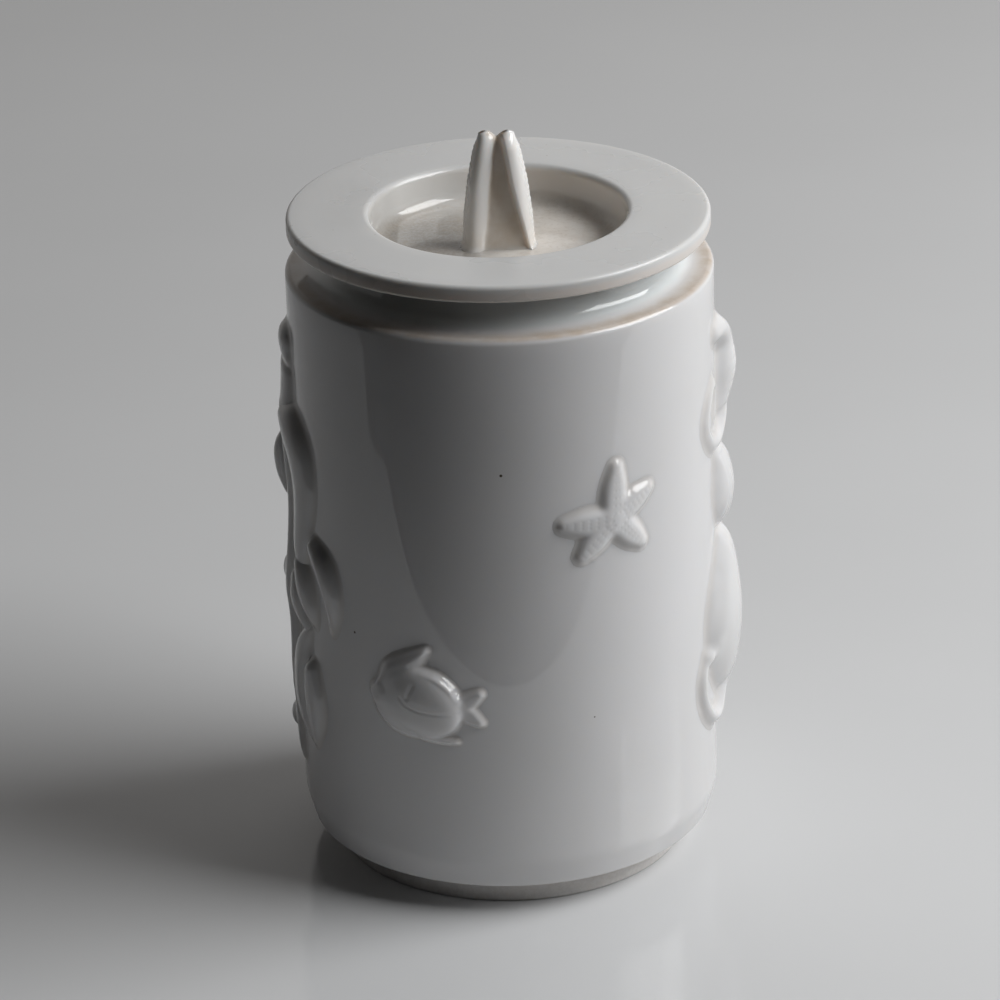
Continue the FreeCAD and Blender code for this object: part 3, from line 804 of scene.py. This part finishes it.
def make_camera():
    """A long lens a little above the jar, at the height and tilt of someone at the table."""
    distance = 1.2
    elevation = math.radians(24.07)
    roll = math.radians(-1.42)
    aim = Vector((-0.0012, 0, 0.0857))
    lens = bpy.data.cameras.new("camera")
    lens.lens = 181.66
    lens.sensor_width = 36
    camera = bpy.data.objects.new("camera", lens)
    back = Vector((0, -math.cos(elevation), math.sin(elevation)))
    turn = Euler((math.pi / 2 - elevation, 0, 0)).to_matrix().to_4x4()
    camera.matrix_world = (Matrix.Translation(aim + back * distance) @ turn
                           @ Matrix.Rotation(roll, 4, "Z"))
    bpy.context.scene.collection.objects.link(camera)
    bpy.context.scene.camera = camera


def make_light(name, azimuth, elevation, distance, size, power, color):
    """A rectangular soft light, its place given from the jar's middle, which it faces."""
    lamp = bpy.data.lights.new(name, "AREA")
    lamp.shape = "RECTANGLE"
    lamp.size, lamp.size_y = size
    lamp.energy = power
    lamp.color = color
    light = bpy.data.objects.new(name, lamp)
    a, e = math.radians(azimuth), math.radians(elevation)
    way = Vector((math.sin(a) * math.cos(e), -math.cos(a) * math.cos(e), math.sin(e)))
    middle = Vector((0, 0, 0.08))
    light.location = middle + way * distance
    light.rotation_euler = way.to_track_quat("Z", "Y").to_euler()
    bpy.context.scene.collection.objects.link(light)


def make_table():
    """A white table whose near edge steps back on the left."""
    left, right, near, far = -620, 2000, -172, 2000
    step_start, step_end, step_back = (-270, -147), (-299, -104), -108
    under_jar = -0.02
    outline = [(right, near), (right, far), (left, far), (left, step_back), step_end, step_start,
               (-60, near)]
    top = [(x, y, under_jar) for x, y in outline]
    table = new_mesh("table_top", top, [range(len(top))], table_glaze(), smooth=False)


def make_room():
    """A dim room: lighter to the back, low down and to the right, and dark in front."""
    world = bpy.data.worlds.new("room")
    world.use_nodes = True
    tree = world.node_tree
    way = tree.nodes.new("ShaderNodeTexCoord")
    split = tree.nodes.new("ShaderNodeSeparateXYZ")
    tree.links.new(way.outputs["Generated"], split.inputs[0])
    strength = None
    for axis, low, high, start, end in (("Y", 0.0, 0.95, 0.006, 1.0), ("Z", 0.2, 0.8, 0.46, 0.16),
                                        ("X", -0.4, 0.4, 0.85, 1.65)):
        fade = tree.nodes.new("ShaderNodeMapRange")
        fade.interpolation_type = "SMOOTHSTEP"
        tree.links.new(split.outputs[axis], fade.inputs["Value"])
        for key, entry in (("From Min", low), ("From Max", high), ("To Min", start), ("To Max", end)):
            fade.inputs[key].default_value = entry
        if strength is None:
            strength = fade.outputs["Result"]
            continue
        product = tree.nodes.new("ShaderNodeMath")
        product.operation = "MULTIPLY"
        tree.links.new(strength, product.inputs[0])
        tree.links.new(fade.outputs["Result"], product.inputs[1])
        strength = product.outputs[0]
    background = tree.nodes["Background"]
    background.inputs["Color"].default_value = rgb(1.0, 0.975, 0.95)
    tree.links.new(strength, background.inputs["Strength"])
    bpy.context.scene.world = world


# ---------------------------------------------------------------- put it together

make_camera()
make_table()
make_room()
make_light("window", 83.7, 39.5, 1.15, (0.9, 0.7), 14.5, (0.99, 0.995, 1.0))
bpy.context.scene.view_settings.view_transform = "Standard"

stand_for(make_jar(jar_glaze()), "jar_body", "jar")
stand_for(make_lid(lid_glaze()), "lid_dish", "lid")
stand_for(make_knob(knob_glaze()), "fishtail_knob", "lid")
make_reliefs(sprig_glaze())
